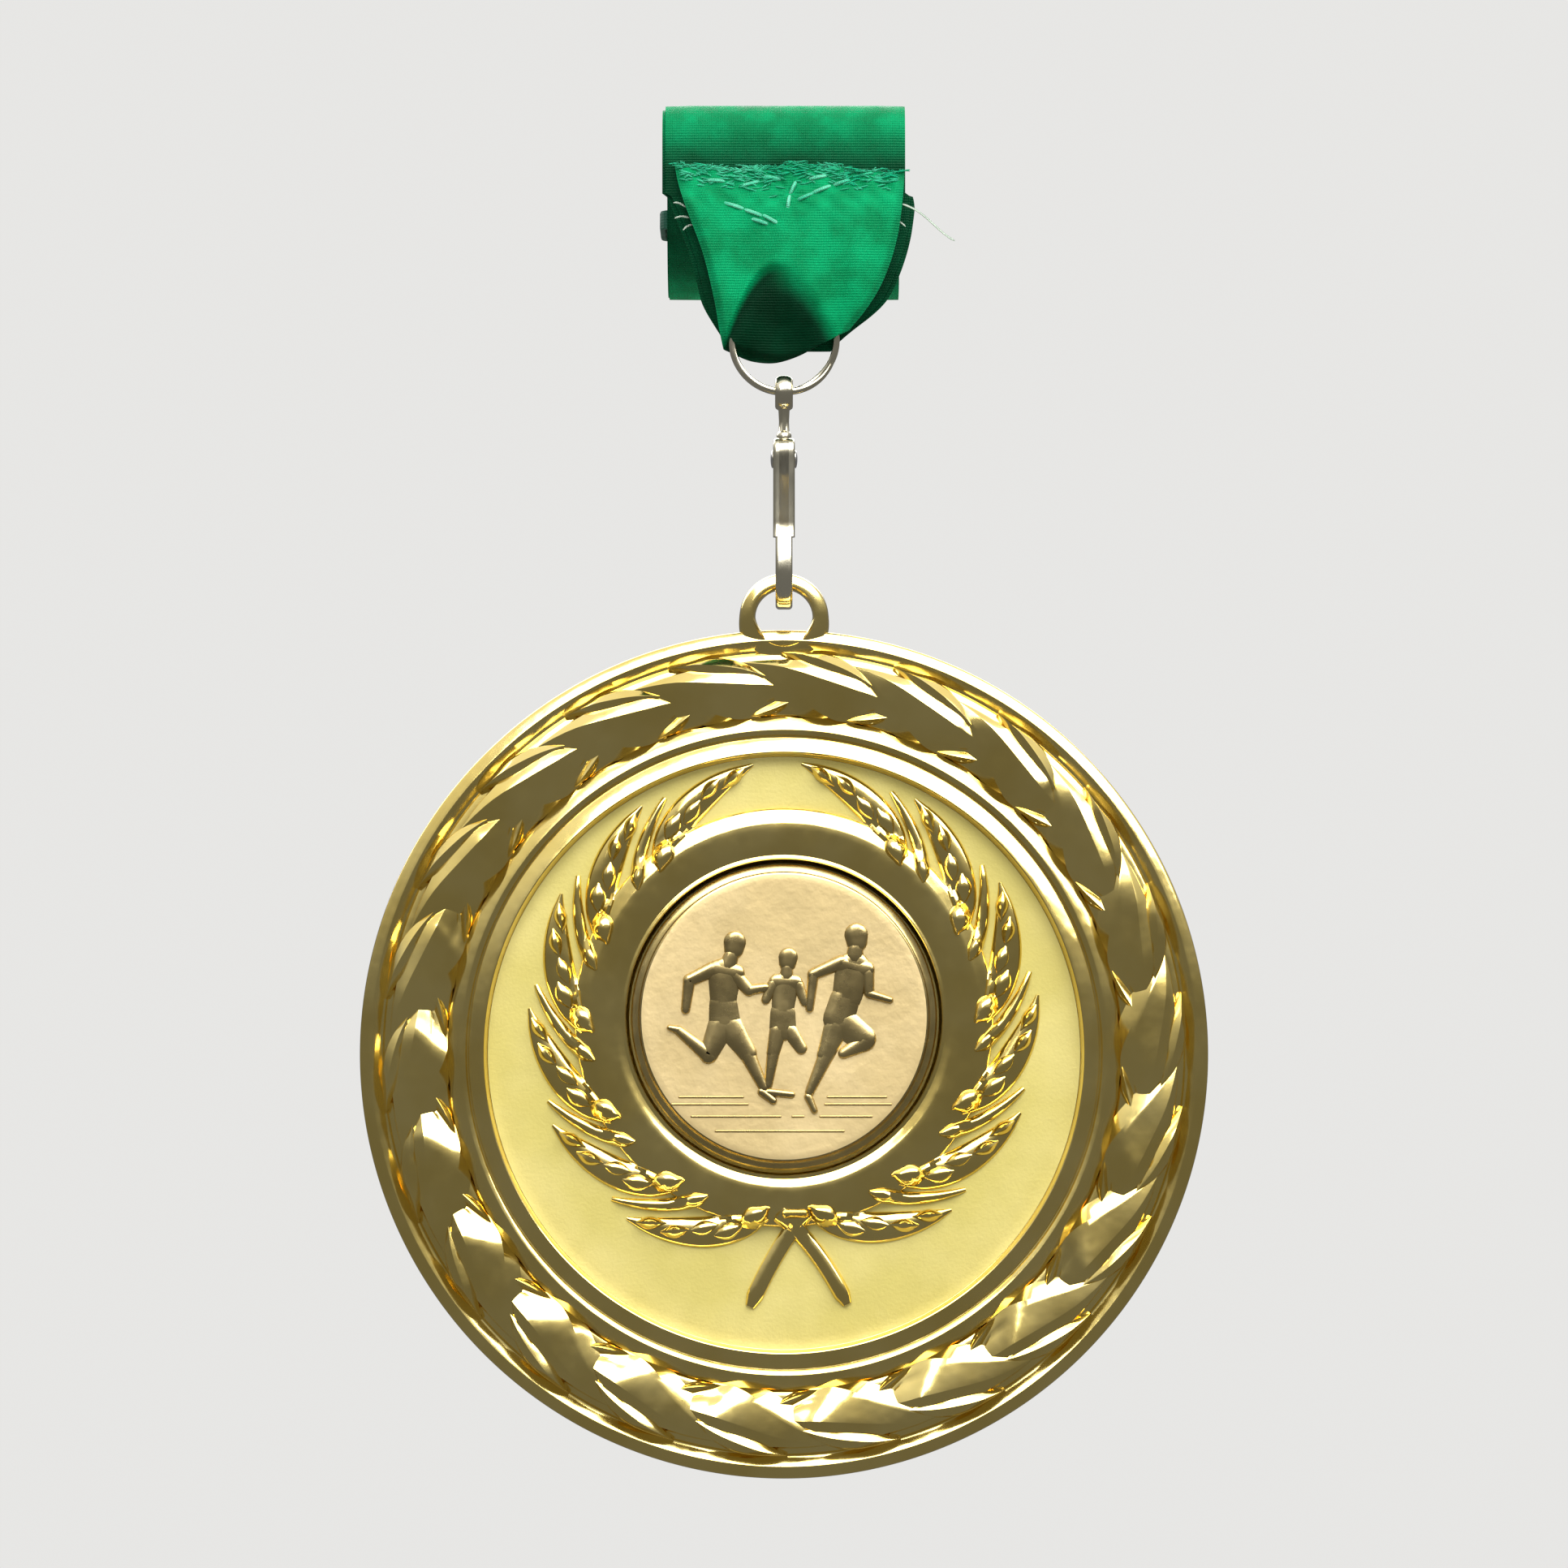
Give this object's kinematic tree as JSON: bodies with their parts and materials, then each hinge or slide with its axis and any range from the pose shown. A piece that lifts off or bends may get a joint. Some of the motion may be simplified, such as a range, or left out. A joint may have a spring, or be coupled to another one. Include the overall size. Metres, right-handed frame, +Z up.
{
  "type": "sports finisher medal",
  "caption": "Round cast medal with a garlanded rim, laurel wreath and runners insert, hung from a green neck ribbon by a snap hook and split ring.",
  "frame": {"origin": "the top of the inside of the ribbon's fold, where the medal hangs on a peg or edge", "axes": "+Z up, the medal's front faces -Y, +X to the right as seen from the front"},
  "size_m": [0.07, 0.0267, 0.1145],
  "materials": {
    "gold_plating": "polished gold plating with satin recessed field",
    "embossed_insert": "matte pinkish gold, embossed",
    "foam_pad": "matte double-sided foam pad",
    "champagne_plating": "bright pale gold plating",
    "bright_steel": "bright steel",
    "green_satin": "emerald satin weave, frayed at the cut end",
    "green_thread": "light green sewing thread",
    "dark_green_band": "matte woven band"
  },
  "bodies": {
    "ribbon": {"ribbon_front_tab": "green_satin", "tab_stitching": "green_thread", "ribbon_legs": "green_satin", "ribbon_roll": "green_satin", "roll_tie": "dark_green_band"},
    "ring": {"split_ring": "champagne_plating", "ribbon_ring_sleeve": "green_satin"},
    "clip": {"clip_hook": "champagne_plating", "gate_rivet": "bright_steel", "gate_spring": "bright_steel"},
    "gate": {"clip_gate": "champagne_plating"},
    "medal": {"medal_casting": "gold_plating", "insert_adhesive_pad": "foam_pad", "center_insert": "embossed_insert"}
  },
  "joints": [
    {"name": "ring_swing", "type": "hinge", "parent": "ribbon", "child": "ring", "pos_m": [0, -0.00385, -0.012], "axis": [-1, 0, 0], "range_deg": [-20, 60]},
    {"name": "clip_swing", "type": "hinge", "parent": "ring", "child": "clip", "pos_m": [0, -0.00385, -0.02395], "axis": [-1, 0, 0], "range_deg": [-70, 70]},
    {"name": "medal_swing", "type": "hinge", "parent": "clip", "child": "medal", "pos_m": [0, -0.00385, -0.04135], "axis": [0, 1, 0], "range_deg": [-85, 85]},
    {"name": "gate_opening", "type": "hinge", "parent": "clip", "child": "gate", "pos_m": [0, -0.00265, -0.0294], "axis": [-1, 0, 0], "range_deg": [0, 22], "stiffness_Nm_per_rad": 0.004, "springref_deg": -17.19}
  ]
}
